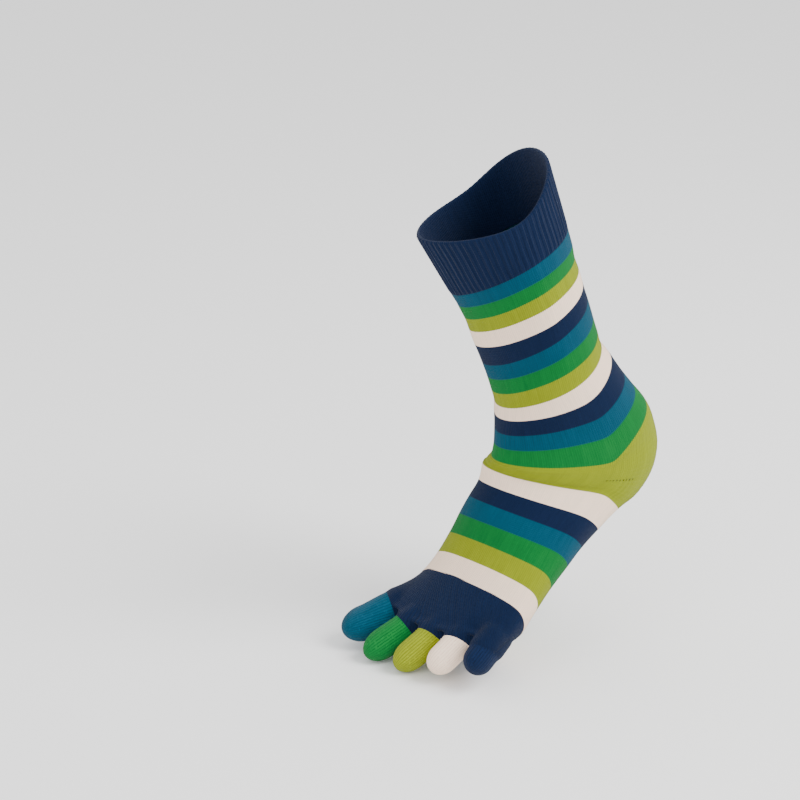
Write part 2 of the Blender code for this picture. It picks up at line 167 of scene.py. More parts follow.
class Shading:
    """A material's node tree, with short calls for the nodes that the yarns need."""

    def __init__(self, tree: bpy.types.NodeTree) -> None:
        """Starts from a new material's tree.

        Args:
            tree: the material's nodes.
        """
        self.tree = tree
        self.shader = tree.nodes["Principled BSDF"]
        self.knit = tree.nodes.new("ShaderNodeUVMap")
        self.knit.uv_map = "knit"
        self.place = tree.nodes.new("ShaderNodeTexCoord").outputs["Object"]

    def stitch_axes(self) -> tuple[bpy.types.NodeSocket, bpy.types.NodeSocket]:
        """The wale and the course of each point."""
        parts = self.tree.nodes.new("ShaderNodeSeparateXYZ")
        self.tree.links.new(self.knit.outputs[0], parts.inputs[0])
        return parts.outputs[0], parts.outputs[1]

    def join(self, source: bpy.types.NodeSocket | float, target: bpy.types.NodeSocket) -> None:
        """Links a socket, or sets a number."""
        if isinstance(source, (int, float)):
            target.default_value = source
        else:
            self.tree.links.new(source, target)

    def maths(self, operation: str, first: bpy.types.NodeSocket | float,
              second: bpy.types.NodeSocket | float = 0.0, clamp: bool = False) -> bpy.types.NodeSocket:
        """One Math node and its result.

        Args:
            operation: what the node works out.
            first: the first value.
            second: the second value.
            clamp: whether the result stays between 0 and 1.

        Returns:
            The result.
        """
        node = self.tree.nodes.new("ShaderNodeMath")
        node.operation = operation
        node.use_clamp = clamp
        self.join(first, node.inputs[0])
        self.join(second, node.inputs[1])
        return node.outputs[0]

    def noise(self, scale: float, detail: float, place: bpy.types.NodeSocket) -> bpy.types.NodeSocket:
        """A Noise node and its factor.

        Args:
            scale: how fine the noise is.
            detail: how rough it is.
            place: where it is read.

        Returns:
            The factor.
        """
        node = self.tree.nodes.new("ShaderNodeTexNoise")
        node.inputs["Scale"].default_value = scale
        node.inputs["Detail"].default_value = detail
        self.tree.links.new(place, node.inputs["Vector"])
        return node.outputs[0]

    def blend(self, share: bpy.types.NodeSocket, first: bpy.types.NodeSocket | tuple,
              second: tuple) -> bpy.types.NodeSocket:
        """A mix of two colours, the first of which may come from another node.

        Args:
            share: how much of the second colour there is.
            first: the first colour.
            second: the second colour.

        Returns:
            The mixed colour.
        """
        node = self.tree.nodes.new("ShaderNodeMix")
        node.data_type = "RGBA"
        self.tree.links.new(share, node.inputs["Factor"])
        if isinstance(first, tuple):
            node.inputs["A"].default_value = first
        else:
            self.tree.links.new(first, node.inputs["A"])
        node.inputs["B"].default_value = second
        return node.outputs["Result"]


@dataclass(frozen=True)
class KnitFinish:
    """The look of knitted cotton: columns of small V shaped loops with a soft fuzz."""

    yarn: Yarn
    stitch: Stitch
    roughness: float = 0.88
    specular: float = 0.10
    sheen_roughness: float = 0.45
    bump_strength: float = 0.8
    bump_depth: float = 0.00045
    loop_slant: float = 1.3
    loop_swell: float = 0.6
    leg_power: float = 0.6
    loop_weight: float = 0.4
    crown_weight: float = 0.6
    # How strongly the loops' height paints shade into the colour: darker in the grooves, lighter on the
    # crowns
    groove_painted_shade: float = 0.60
    toe_groove_painted_shade: float = 0.75
    toe_variation: float = 1.5
    streak_weight: float = 0.65
    streak_stretch: tuple[float, float, float] = (0.9, 0.06, 1.0)
    fuzz_weight: float = 0.35
    fuzz_scale: float = 1400.0
    fuzz_height: float = 0.5
    darkest_tone: float = 0.25
    darkening: float = 2.4
    lightening: float = 1.6
    bleaching: float = 0.012
    speck_scale: float = 700.0
    speck_level: float = 0.60
    speck_gain: float = 5.0
    eyelet_radius: float = 0.55
    eyelet_spacing: float = 1.6
    eyelet_edge: float = 1.4
    # Painted shade: how dark the eyelets are painted, as a share of the yarn's colour
    eyelet_painted_shade: float = 0.18
    eyelet_cover: float = 0.9
    eyelet_depth: float = 1.5
    wale_pitch: float = 1.24

    def name(self) -> str:
        """The material's name."""
        return f"{self.yarn.slot}_{self.stitch.value}"

    def material(self) -> bpy.types.Material:
        """The material, made on first use.

        Returns:
            The Principled material with its loops, streaks and fuzz.
        """
        found = bpy.data.materials.get(self.name())
        if found:
            return found
        made = bpy.data.materials.new(self.name())
        made.use_nodes = True
        shading = Shading(made.node_tree)
        wale, course = shading.stitch_axes()
        height = self.loops(shading, wale, course)
        fuzz = shading.noise(self.fuzz_scale, 3.0, shading.place)
        # The colour holds painted shade between the loops as well as the yarn's own streaks and fuzz
        colour = self.dye_with_painted_shade(shading, height, fuzz)
        if self.stitch is Stitch.HEEL:
            # Painted shade: each eyelet is filled with a darker copy of the yarn for the shadow inside the
            # hole, and pressed in by the bump
            holes = self.eyelets(shading, wale, course)
            cover = shading.maths("MULTIPLY", holes, self.eyelet_cover)
            shaded = tuple(channel * self.eyelet_painted_shade for channel in self.yarn.colour)
            colour = shading.blend(cover, colour, (*shaded, 1.0))
            height = shading.maths("SUBTRACT", height, shading.maths("MULTIPLY", holes, self.eyelet_depth))
        shader = shading.shader
        made.node_tree.links.new(colour, shader.inputs["Base Color"])

        bump = made.node_tree.nodes.new("ShaderNodeBump")
        bump.inputs["Strength"].default_value = self.bump_strength
        bump.inputs["Distance"].default_value = self.bump_depth
        relief = shading.maths("ADD", height, shading.maths("MULTIPLY", fuzz, self.fuzz_height))
        made.node_tree.links.new(relief, bump.inputs["Height"])
        made.node_tree.links.new(bump.outputs[0], shader.inputs["Normal"])

        shader.inputs["Roughness"].default_value = self.roughness
        shader.inputs["Specular IOR Level"].default_value = self.specular
        shader.inputs["Sheen Weight"].default_value = self.yarn.sheen
        shader.inputs["Sheen Roughness"].default_value = self.sheen_roughness
        return made

    def loops(self, shading: Shading, wale: bpy.types.NodeSocket,
              course: bpy.types.NodeSocket) -> bpy.types.NodeSocket:
        """The height of the yarn: each wale is a crowned column of V shaped loops.

        Args:
            shading: the nodes.
            wale: the wale of each point.
            course: its course.

        Returns:
            The height.
        """
        maths = shading.maths
        spread = maths("ABSOLUTE", maths("SUBTRACT", maths("FRACT", wale), 0.5))
        from_leg = maths("ABSOLUTE", maths("SUBTRACT", spread, 0.25))
        leg = maths("SUBTRACT", 1.0, maths("MULTIPLY", from_leg, 4.0))
        slant = maths("FRACT", maths("ADD", course, maths("MULTIPLY", spread, self.loop_slant)))
        loop = maths("SINE", maths("MULTIPLY", slant, pi))
        swell = maths("ADD", maths("MULTIPLY", loop, self.loop_swell), 1 - self.loop_swell)
        loops = maths("MULTIPLY", maths("POWER", leg, self.leg_power), swell)
        crown = maths("SUBTRACT", 1.0, maths("POWER", maths("MULTIPLY", spread, 2.0), 2.0))
        return maths("ADD", maths("MULTIPLY", loops, self.loop_weight),
                     maths("MULTIPLY", crown, self.crown_weight))

    def dye_with_painted_shade(self, shading: Shading, height: bpy.types.NodeSocket,
            fuzz: bpy.types.NodeSocket) -> bpy.types.NodeSocket:
        """The yarn's colour: painted shade darkens it between the loops and lightens their crowns, and it
        is streaked along the wales.

        Args:
            shading: the nodes.
            height: the yarn's height.
            fuzz: the fine noise of its fibres.

        Returns:
            The colour.
        """
        maths = shading.maths
        close = self.stitch is Stitch.TOE
        stretch = shading.tree.nodes.new("ShaderNodeMapping")
        stretch.inputs["Scale"].default_value = self.streak_stretch
        shading.tree.links.new(shading.knit.outputs[0], stretch.inputs[0])
        streaks = shading.noise(1.0, 2.0, stretch.outputs[0])
        # Painted shade: the loops' height darkens the grooves and lightens the crowns; the streaks and the
        # fuzz are the yarn's own tone
        tone = maths("ADD", maths("MULTIPLY", height, self.toe_groove_painted_shade if close else self.groove_painted_shade),
                     maths("ADD", maths("MULTIPLY", streaks, self.streak_weight),
                           maths("MULTIPLY", fuzz, self.fuzz_weight)))
        if close:
            tone = maths("ADD", tone, self.specks(shading))
        change = self.yarn.variation * (self.toe_variation if close else 1.0)
        # The dark and light ends serve both the painted shade of the grooves and the yarn's own streaks
        dark = tuple(c * (1.0 - self.darkening * change) for c in self.yarn.colour)
        bleach = self.bleaching * change
        light = tuple(c * (1.0 + self.lightening * change) + bleach for c in self.yarn.colour)
        level = maths("SUBTRACT", tone, self.darkest_tone, clamp=True)
        return shading.blend(level, (*dark, 1.0), (*light, 1.0))

    def specks(self, shading: Shading) -> bpy.types.NodeSocket:
        """Scattered light fibres of the closely knitted toes."""
        fibres = shading.noise(self.speck_scale, 1.0, shading.place)
        return shading.maths("MULTIPLY", shading.maths("SUBTRACT", fibres, self.speck_level, clamp=True),
                             self.speck_gain)

    def eyelets(self, shading: Shading, wale: bpy.types.NodeSocket,
                course: bpy.types.NodeSocket) -> bpy.types.NodeSocket:
        """Small holes in a row along the heel's turning line on both sides of the foot, where dark shade is
        painted.

        Args:
            shading: the nodes.
            wale: the wale of each point.
            course: its course.

        Returns:
            1 in the middle of a hole, and 0 outside.
        """
        maths = shading.maths
        line = float(FORM.courses(np.array([GORE_PLACE]))[0])
        first, last = (FORM.wale(GORE_PLACE, radians(turn)) for turn in GORE_TURNS)
        middle, reach = (first + last) / 2, (last - first) / 2
        near = maths("MINIMUM", maths("ABSOLUTE", maths("SUBTRACT", wale, middle)),
                     maths("ABSOLUTE", maths("SUBTRACT", wale, WALES - middle)))
        inside = maths("LESS_THAN", near, reach)
        # Distances from the middle of the nearest hole, in millimetres
        cycle = maths("FRACT", maths("DIVIDE", wale, self.eyelet_spacing))
        across = maths("MULTIPLY", maths("SUBTRACT", cycle, 0.5), self.eyelet_spacing * self.wale_pitch)
        along = maths("MULTIPLY", maths("SUBTRACT", course, line), COURSE * 1000)
        squares = maths("ADD", maths("MULTIPLY", across, across), maths("MULTIPLY", along, along))
        away = maths("SQRT", squares)
        edge = self.eyelet_edge
        hole = maths("SUBTRACT", edge, maths("MULTIPLY", away, edge / self.eyelet_radius), clamp=True)
        return maths("MULTIPLY", hole, inside)


class SockForm:
    """The sock's outside as one surface of a place down the sock and a turn around it."""

    def __init__(self) -> None:
        """Turns the table of sections into lengths."""
        self.rows = np.array([self.lengths(values) for values in SECTIONS.values()])
        self.places = {name: index for index, name in enumerate(SECTIONS)}
        self.last = len(self.rows) - 1
        ring = self.raw(np.zeros(CAD_SEGMENTS), np.arange(CAD_SEGMENTS) * 2 * pi / CAD_SEGMENTS)
        self.origin = (ring.min(axis=0) + ring.max(axis=0)) / 2
        self.steps = np.linspace(0, self.last, 40 * self.last + 1)
        line = self.point(self.steps, np.full(len(self.steps), pi / 2))
        self.runs = np.concatenate([[0.0], np.cumsum(np.linalg.norm(np.diff(line, axis=0), axis=1))])

    @staticmethod
    def frame_axes(part: str) -> tuple[np.ndarray, np.ndarray, tuple[float, float, float]]:
        """The along and across directions of the leg or the foot, as (forward, up), and its sizes.

        Args:
            part: leg or foot.

        Returns:
            The two directions, and the length, depth and width.
        """
        if part == "leg":
            lean = radians(SHIN_LEAN)
            return np.array((sin(lean), cos(lean))), np.array((cos(lean), -sin(lean))), (
                LEG_LENGTH, LEG_DEPTH, LEG_WIDTH)
        pitch = radians(FOOT_PITCH)
        return np.array((cos(pitch), -sin(pitch))), np.array((sin(pitch), cos(pitch))), (
            FOOT_LENGTH, FOOT_HEIGHT, BALL_WIDTH)

    def lengths(self, values: tuple) -> np.ndarray:
        """One row of the table in metres.

        Args:
            values: the row's frame and its shares.

        Returns:
            Front, side and back points, widths, powers, slope and curve.
        """
        part, fa, fc, sa, sc, ba, bc, width, crest, shift, fp, bp, tilt, roll, bow, softness = values
        along, across, (length, depth, breadth) = self.frame_axes(part)
        spots = [along * a * length + across * c * depth for a, c in ((fa, fc), (sa, sc), (ba, bc))]
        slope = along * tilt + across * roll
        curve = -along * bow * length
        return np.array((*spots[0], *spots[1], *spots[2], width * breadth, crest * breadth, shift * breadth,
                         fp, bp, *slope, *curve, softness))

    def raw(self, place: np.ndarray, turn: np.ndarray) -> np.ndarray:
        """Points of the outside, measured from the heel hinge.

        Args:
            place: places down the sock, in rows of the table of sections.
            turn: turns around it in radians, 0 at the front and a quarter at the little toe's side.

        Returns:
            The points, where the rows of the table are joined by smooth curves.
        """
        low = np.clip(place.astype(int), 0, self.last - 1)
        part = (place - low)[..., None]
        p0, p1, p2, p3 = (self.rows[np.clip(low + k, 0, self.last)] for k in (-1, 0, 1, 2))
        rise = (p2 - p0) / 2
        fall = (p3 - p1) / 2
        cube = 2 * p1 - 2 * p2 + rise + fall
        square = 3 * p2 - 3 * p1 - 2 * rise - fall
        values = ((cube * part + square) * part + rise) * part + p1
        (fr, fu, sr, su, br, bu, width, crest, shift, fp, bp, slope_r, slope_u, curve_r, curve_u,
         softness) = np.moveaxis(values, -1, 0)
        c, s = np.cos(turn), np.sin(turn)
        power = 2 / np.where(c > 0, fp, bp)
        cc = np.copysign(np.abs(c) ** power, c)
        ss = np.copysign(np.abs(s) ** power, s)
        norm = 2 / (1 + np.sqrt(1 + softness ** 2))
        root = np.sqrt(cc * cc + softness ** 2)
        pf = (cc + root) / 2 * norm
        pb = (root - cc) / 2 * norm
        side = shift + crest * pf + width * ss
        lean = side - shift
        bend = (lean / width) ** 2
        forward = sr + (fr - sr) * pf + (br - sr) * pb + slope_r * lean + curve_r * bend
        up = su + (fu - su) * pf + (bu - su) * pb + slope_u * lean + curve_u * bend
        return np.stack([side, -forward, up], axis=-1)

    def point(self, place: np.ndarray, turn: np.ndarray) -> np.ndarray:
        """Points of the outside in the row frame."""
        return self.raw(place, turn) - self.origin

    def normal(self, place: np.ndarray, turn: np.ndarray) -> np.ndarray:
        """Outward directions of the outside.

        Args:
            place: places down the sock.
            turn: turns around it.

        Returns:
            A direction of length 1 for each point.
        """
        step = 0.02
        before, after = np.maximum(place - step, 0), np.minimum(place + step, self.last)
        down = self.point(after, turn) - self.point(before, turn)
        around = self.point(place, turn + step) - self.point(place, turn - step)
        cross = np.cross(down, around)
        return cross / np.linalg.norm(cross, axis=-1, keepdims=True)

    def wale(self, place: float, turn: float) -> float:
        """The wale that passes a point."""
        even = np.linspace(0.0, 2 * pi, FINE_TURNS)
        turns = self.evened(np.full((1, FINE_TURNS), place), even[None])[0]
        return float(np.interp(turn, turns, even)) * WALES / (2 * pi)

    def courses(self, place: np.ndarray) -> np.ndarray:
        """How many courses lie between the rim and a place."""
        return np.interp(place, self.steps, self.runs) / COURSE

    def evened(self, place: np.ndarray, even: np.ndarray) -> np.ndarray:
        """Turns that set the columns of each ring at equal lengths around it.

        Args:
            place: places, one value in each row.
            even: equally stepped turns of the same shape.

        Returns:
            The turn of each point.
        """
        fine = np.linspace(0.0, 2 * pi, FINE_TURNS)
        moved = np.empty_like(even)
        for row, spot in enumerate(place[:, 0]):
            ring = self.raw(np.full(fine.shape, spot), fine)
            run = np.concatenate([[0.0], np.cumsum(np.linalg.norm(np.diff(ring, axis=0), axis=1))])
            moved[row] = np.interp(even[row], run / run[-1] * 2 * pi, fine)
        return moved

    def ticked(self, place: np.ndarray, turn: np.ndarray, ends: tuple[float, float]) -> np.ndarray:
        """Places with the rings at both ends moved to and fro, so that a stripe ends in small stitches.

        Args:
            place: places, in rows from one end to the other.
            turn: turns of the same shape.
            ends: the places of the two ends.

        Returns:
            The places, where only those at the ends have moved.
        """
        step, least_pace = 0.01, 0.004
        moved = place.copy()
        for end in ends:
            if end == 0:
                continue
            spots = np.full(turn.shape, float(end))
            ahead = self.point(spots + step, turn) - self.point(spots - step, turn)
            pace = np.maximum(np.linalg.norm(ahead, axis=-1) / (2 * step), least_pace)
            ticked = place + np.cos(turn * WALES) * STITCH_TICK / pace
            moved = np.where(np.abs(place - end) < 1e-9, ticked, moved)
        return moved

    def length(self, first: float, last: float) -> float:
        """The knitted length between two places along the side."""
        return float(np.interp(last, self.steps, self.runs) - np.interp(first, self.steps, self.runs))


FORM = SockForm()


def finish_piece(piece: bpy.types.Object, node: str, yarn: Yarn, stitch: Stitch) -> bpy.types.Object:
    """Dresses a piece, hides the CAD node it stands for and attaches the piece to the root body.

    Args:
        piece: the new object.
        node: the CAD node's name.
        yarn: its yarn.
        stitch: how it is knitted.

    Returns:
        The same object.
    """
    piece.data.materials.clear()
    piece.data.materials.append(KnitFinish(yarn, stitch).material())
    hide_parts(node)
    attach(piece, "root")
    LOG.info("%s: %d faces of %s", piece.name, len(piece.data.polygons), yarn.slot)
    return piece


def add_object(name: str, data: bpy.types.ID) -> bpy.types.Object:
    """A new object of the scene at the origin."""
    made = bpy.data.objects.new(name, data)
    bpy.context.scene.collection.objects.link(made)
    return made


def add_mesh(name: str, points: list, faces: list) -> bpy.types.Object:
    """A new mesh object from its points and faces."""
    data = bpy.data.meshes.new(name)
    data.from_pydata(points, [], faces)
    return add_object(name, data)


def new_piece(name: str, points: np.ndarray, quads: np.ndarray, uvs: np.ndarray) -> bpy.types.Object:
    """An object from points, quads and the knit coordinates of each quad's corners.

    Args:
        name: the object's name.
        points: its points.
        quads: four indices of points in each row.
        uvs: wale and course of each corner.

    Returns:
        The new object, smoothly shaded.
    """
    made = add_mesh(name, points.tolist(), quads.tolist())
    layer = made.data.uv_layers.new(name="knit")
    layer.data.foreach_set("uv", uvs.astype(np.float32).ravel())
    made.data.shade_smooth()
    made.data.set_sharp_from_angle(angle=radians(BAND_SHARPNESS))
    return made


def tube(name: str, rings: np.ndarray, courses: np.ndarray) -> bpy.types.Object:
    """A closed wall lofted through rings, down the outside and back up the inside.

    Args:
        name: the object's name.
        rings: points by ring and turn.
        courses: the course coordinate of each ring.

    Returns:
        The new object.
    """
    count, around = rings.shape[:2]
    row, turn = np.meshgrid(np.arange(count), np.arange(around), indexing="ij")
    first, after = row * around, (row + 1) % count * around
    beside = (turn + 1) % around
    quads = np.stack([first + turn, after + turn, after + beside, first + beside], axis=-1).reshape(-1, 4)
    step = WALES / around
    wale = turn * step
    course, next_course = courses[row], courses[(row + 1) % count]
    corners = [(wale, course), (wale, next_course), (wale + step, next_course), (wale + step, course)]
    uvs = np.stack([np.stack(corner, -1) for corner in corners], axis=-2).reshape(-1, 2)
    return new_piece(name, rings.reshape(-1, 3), quads, uvs)


@dataclass
class Band:
    """A tube of plain knitting between two sections of the sock."""

    node: str
    first: str
    last: str
    yarn: Yarn
    wall: float = WALL
    stitch: Stitch = Stitch.PLAIN
    wale_relief: float = 0.00010
    ease: float = 0.00022

    def relief(self, place: np.ndarray, turn: np.ndarray) -> np.ndarray:
        """How far the outside stands off the smooth form."""
        wales = np.cos(turn * WALES) * self.wale_relief
        slack = np.sin(turn * 3 + place * 1.7) * np.sin(turn * 5 - place * 1.1 + 0.8) * self.ease
        return wales + slack

    def places(self) -> tuple[np.ndarray, np.ndarray]:
        """Where the rings of the outside and of the inside lie."""
        begin, end = FORM.places[self.first], FORM.places[self.last]
        length = FORM.length(begin, end)
        outer = np.linspace(begin, end, max(int(length / OUTER_STEP), 4) + 1)
        inner = np.linspace(end, begin, max(int(length / INNER_STEP), 2) + 1)
        return outer, inner

    def sheet(self, rows: np.ndarray, outward: bool) -> np.ndarray:
        """Points of the outside or of the inside.

        Args:
            rows: the place of each ring.
            outward: whether this is the outside.

        Returns:
            The points by ring and turn.
        """
        place, even = np.meshgrid(rows, np.arange(AROUND) * 2 * pi / AROUND, indexing="ij")
        turn = FORM.evened(place, even)
        place = FORM.ticked(place, even, (FORM.places[self.first], FORM.places[self.last]))
        offset = self.relief(place, even)[..., None] if outward else -self.wall
        return FORM.point(place, turn) + FORM.normal(place, turn) * offset

    def build(self) -> bpy.types.Object:
        """The band as an object.

        Returns:
            The new object, in its finish.
        """
        outer, inner = self.places()
        outside = self.sheet(outer, outward=True)
        inside = self.sheet(inner, outward=False)
        rings = np.concatenate([outside, inside])
        courses = FORM.courses(np.concatenate([outer, inner]))
        made = tube(self.node + "_knit", rings, courses)
        return finish_piece(made, self.node, self.yarn, self.stitch)


@dataclass
class Cuff(Band):
    """The ribbed cuff with its folded rim."""

    ribs: int = 72
    rib_height: float = 0.00055
    rim_steps: int = 7

    def relief(self, place: np.ndarray, turn: np.ndarray) -> np.ndarray:
        """Upright ribs that fade out at the rim and above the first stripe."""
        wave = np.cos(turn * self.ribs + 0.35 * np.sin(place * 9.0 + turn * 2))
        fade = np.clip(place / 0.05, 0.25, 1.0) * np.clip((1.0 - place) / 0.06, 0.15, 1.0)
        swell = 1.0 + 0.25 * np.sin(turn * 11 + 1.3) * np.sin(turn * 17)
        return (np.sign(wave) * np.abs(wave) ** 0.7 * 0.5 + 0.1) * self.rib_height * fade * swell

    def build(self) -> bpy.types.Object:
        """The cuff as an object, its rim rounded over from the outside to the inside."""
        outer, inner = self.places()
        drop = 0.5 * self.wall / FORM.length(0, 1)
        outer = np.concatenate([[drop], outer[outer > drop * 1.3]])
        inner = np.concatenate([inner[inner > drop * 1.3], [drop]])
        outside = self.sheet(outer, outward=True)
        inside = self.sheet(inner, outward=False)
        start, end = inside[-1], outside[0]
        middle, half = (start + end) / 2, (end - start) / 2
        rim = np.zeros((1, AROUND))
        turns = FORM.evened(rim, np.arange(AROUND)[None] * 2 * pi / AROUND)
        down = (FORM.point(rim + 0.3, turns) - FORM.point(rim, turns))[0]
        up = -down / np.linalg.norm(down, axis=1, keepdims=True) * self.wall / 2
        angles = np.linspace(0, pi, self.rim_steps + 2)[1:-1]
        arc = [middle - half * cos(angle) + up * sin(angle) for angle in angles]
        rings = np.concatenate([outside, inside, np.array(arc)])
        courses = np.concatenate([FORM.courses(outer), FORM.courses(inner), np.zeros(self.rim_steps)])
        made = tube(self.node + "_knit", rings, courses)
        return finish_piece(made, self.node, self.yarn, self.stitch)


@dataclass
class Toe:
    """One toe pocket: where its axis runs, how thick it is and where its own yarn begins."""

    node: str
    root: tuple[float, float, float]
    tip: tuple[float, float, float]
    half_width: float
    half_height: float
    start: float
    skew: float
    yarn: Yarn
    wales: int = 34
    course: float = 0.0009
    root_share: float = -0.32
    root_widening: float = 1.10
    neck: float = 0.06
    root_rise: float = 1.5
    lift: float = 0.0
    lift_end: float = 0.60
    lift_fade: float = 0.35
    slimming: float = 0.03
    slim_end: float = 0.4
    tail_start: float = -0.16
    tail_length: float = 0.16
    tail_fall: float = 0.2
    taper: float = 0.62
    turns: int = 48
    rings: int = 20
    tip_rings: int = 12
    axis: dict = field(default_factory=dict)

    def place_axis(self) -> None:
        """Turns the shares into a root, a direction, a length and side and top directions."""
        along, across, (length, height, breadth) = FORM.frame_axes("foot")

        def spot(shares: tuple[float, float, float]) -> np.ndarray:
            """A point from its side, along and across shares."""
            forward, up = along * shares[1] * length + across * shares[2] * height
            return np.array((shares[0] * breadth, -forward, up)) - FORM.origin

        root, tip = spot(self.root), spot(self.tip)
        reach = float(np.linalg.norm(tip - root))
        direction = (tip - root) / reach
        side = np.cross((0.0, 0.0, 1.0), direction)
        side /= np.linalg.norm(side)
        self.axis = {"root": root, "direction": direction, "length": reach, "side": side,
                     "top": np.cross(direction, side), "wide": self.half_width * breadth,
                     "high": self.half_height * breadth}

    def scale(self, share: np.ndarray) -> np.ndarray:
        """The toe's rounding along its length: nearly even, and then a round tip from the taper on."""
        tip = np.clip((share - self.taper) / (1 - self.taper), 0.0, 0.999)
        body = 1 - self.slimming + self.slimming * np.clip(share / self.slim_end, 0, 1)
        return body * np.sqrt(1 - tip ** 2)

    def widening(self, share: np.ndarray, turn: np.ndarray) -> np.ndarray:
        """How much wider the toe's root is behind the edge of its pocket.

        Args:
            share: shares of the toe's length.
            turn: turns around it.

        Returns:
            A factor for each point.
        """
        behind = np.clip((self.start + self.skew * np.cos(turn) - share) / self.neck, 0.0, 1.0)
        fall = np.clip((self.tail_start - share) / self.tail_length, 0.0, 1.0)
        ease = behind * behind * (3 - 2 * behind)
        return 1.0 + (self.root_widening - 1.0) * ease - self.tail_fall * fall

    def rise(self, share: np.ndarray, turn: np.ndarray) -> np.ndarray:
        """The height around the toe as a share of its half height, fuller over the root."""
        root = 1 + self.root_rise * (self.widening(share, turn) - 1)
        lifted = self.lift * np.clip((self.lift_end - share) / self.lift_fade, 0, 1)
        return np.sin(turn) * (root + lifted * (np.sin(turn) > 0))

    def body(self) -> bpy.types.Object:
        """The toe as a closed round-ended body that reaches into the foot."""
        a = self.axis
        bend = np.linspace(0, pi / 2, self.tip_rings + 2)[1:-1]
        shares = np.concatenate([np.linspace(self.root_share, self.taper, self.rings),
                                 self.taper + (1 - self.taper) * np.sin(bend)])
        n = self.turns
        share, turn = np.meshgrid(shares, np.arange(n) * 2 * pi / n, indexing="ij")
        size = self.scale(share)[..., None]
        points = (a["root"] + a["direction"] * (share * a["length"])[..., None]
                  + a["side"] * (a["wide"] * np.cos(turn) * self.widening(share, turn))[..., None] * size
                  + a["top"] * (a["high"] * self.rise(share, turn))[..., None] * size)
        count = len(shares)
        faces = [(r * n + k, r * n + (k + 1) % n, (r + 1) * n + (k + 1) % n, (r + 1) * n + k)
                 for r in range(count - 1) for k in range(n)]
        flat = points.reshape(-1, 3).tolist()
        flat += [points[0].mean(axis=0).tolist(), (a["root"] + a["direction"] * a["length"]).tolist()]
        tail, tip = len(flat) - 2, len(flat) - 1
        faces += [(k, tail, (k + 1) % n) for k in range(n)]
        faces += [((count - 1) * n + k, (count - 1) * n + (k + 1) % n, tip) for k in range(n)]
        return add_mesh(self.node + "_body", flat, faces)

    def share(self, points: np.ndarray) -> np.ndarray:
        """How far along the toe each point lies, as a share of its length."""
        return (points - self.axis["root"]) @ self.axis["direction"] / self.axis["length"]

    def beyond(self, points: np.ndarray) -> np.ndarray:
        """How far past the edge of its own pocket each point lies, as a share of the toe's length."""
        slant = (points - self.axis["root"]) @ self.axis["side"] / self.axis["wide"]
        return self.share(points) - self.start - self.skew * slant

    def distance(self, points: np.ndarray) -> np.ndarray:
        """How far from the toe's axis each point lies, in half sizes."""
        away = points - self.axis["root"]
        across = away @ self.axis["side"] / self.axis["wide"]
        return np.hypot(across, away @ self.axis["top"] / self.axis["high"])

    def knit(self, points: np.ndarray) -> np.ndarray:
        """The knit coordinates of points of the toe."""
        away = points - self.axis["root"]
        angle = np.arctan2(away @ self.axis["top"], away @ self.axis["side"]) / (2 * pi)
        courses = self.share(points) * self.axis["length"] / self.course
        return np.stack([angle * self.wales, courses], axis=-1)


# node, root and tip as side, along and across shares, half width, half height, pocket's start, skew
TOES = (
    Toe("big_toe", (-0.223, 1.229, 0.143), (-0.287, 1.545, 0.475), 0.1223, 0.1194, 0.20, 0.00, TEAL,
        wales=46, lift=0.30),
    Toe("second_toe", (-0.011, 1.235, 0.178), (-0.043, 1.544, 0.310), 0.0937, 0.1040, 0.17, -0.04, GREEN),
    Toe("third_toe", (0.181, 1.173, 0.087), (0.160, 1.469, 0.147), 0.0872, 0.1031, 0.19, -0.12, LIME),
    Toe("fourth_toe", (0.351, 1.098, -0.005), (0.362, 1.344, 0.033), 0.0850, 0.1013, 0.21, -0.16, CREAM),
    Toe("little_toe", (0.511, 0.993, -0.108), (0.564, 1.202, -0.092), 0.0904, 0.1049, 0.40, -0.10, NAVY),
)


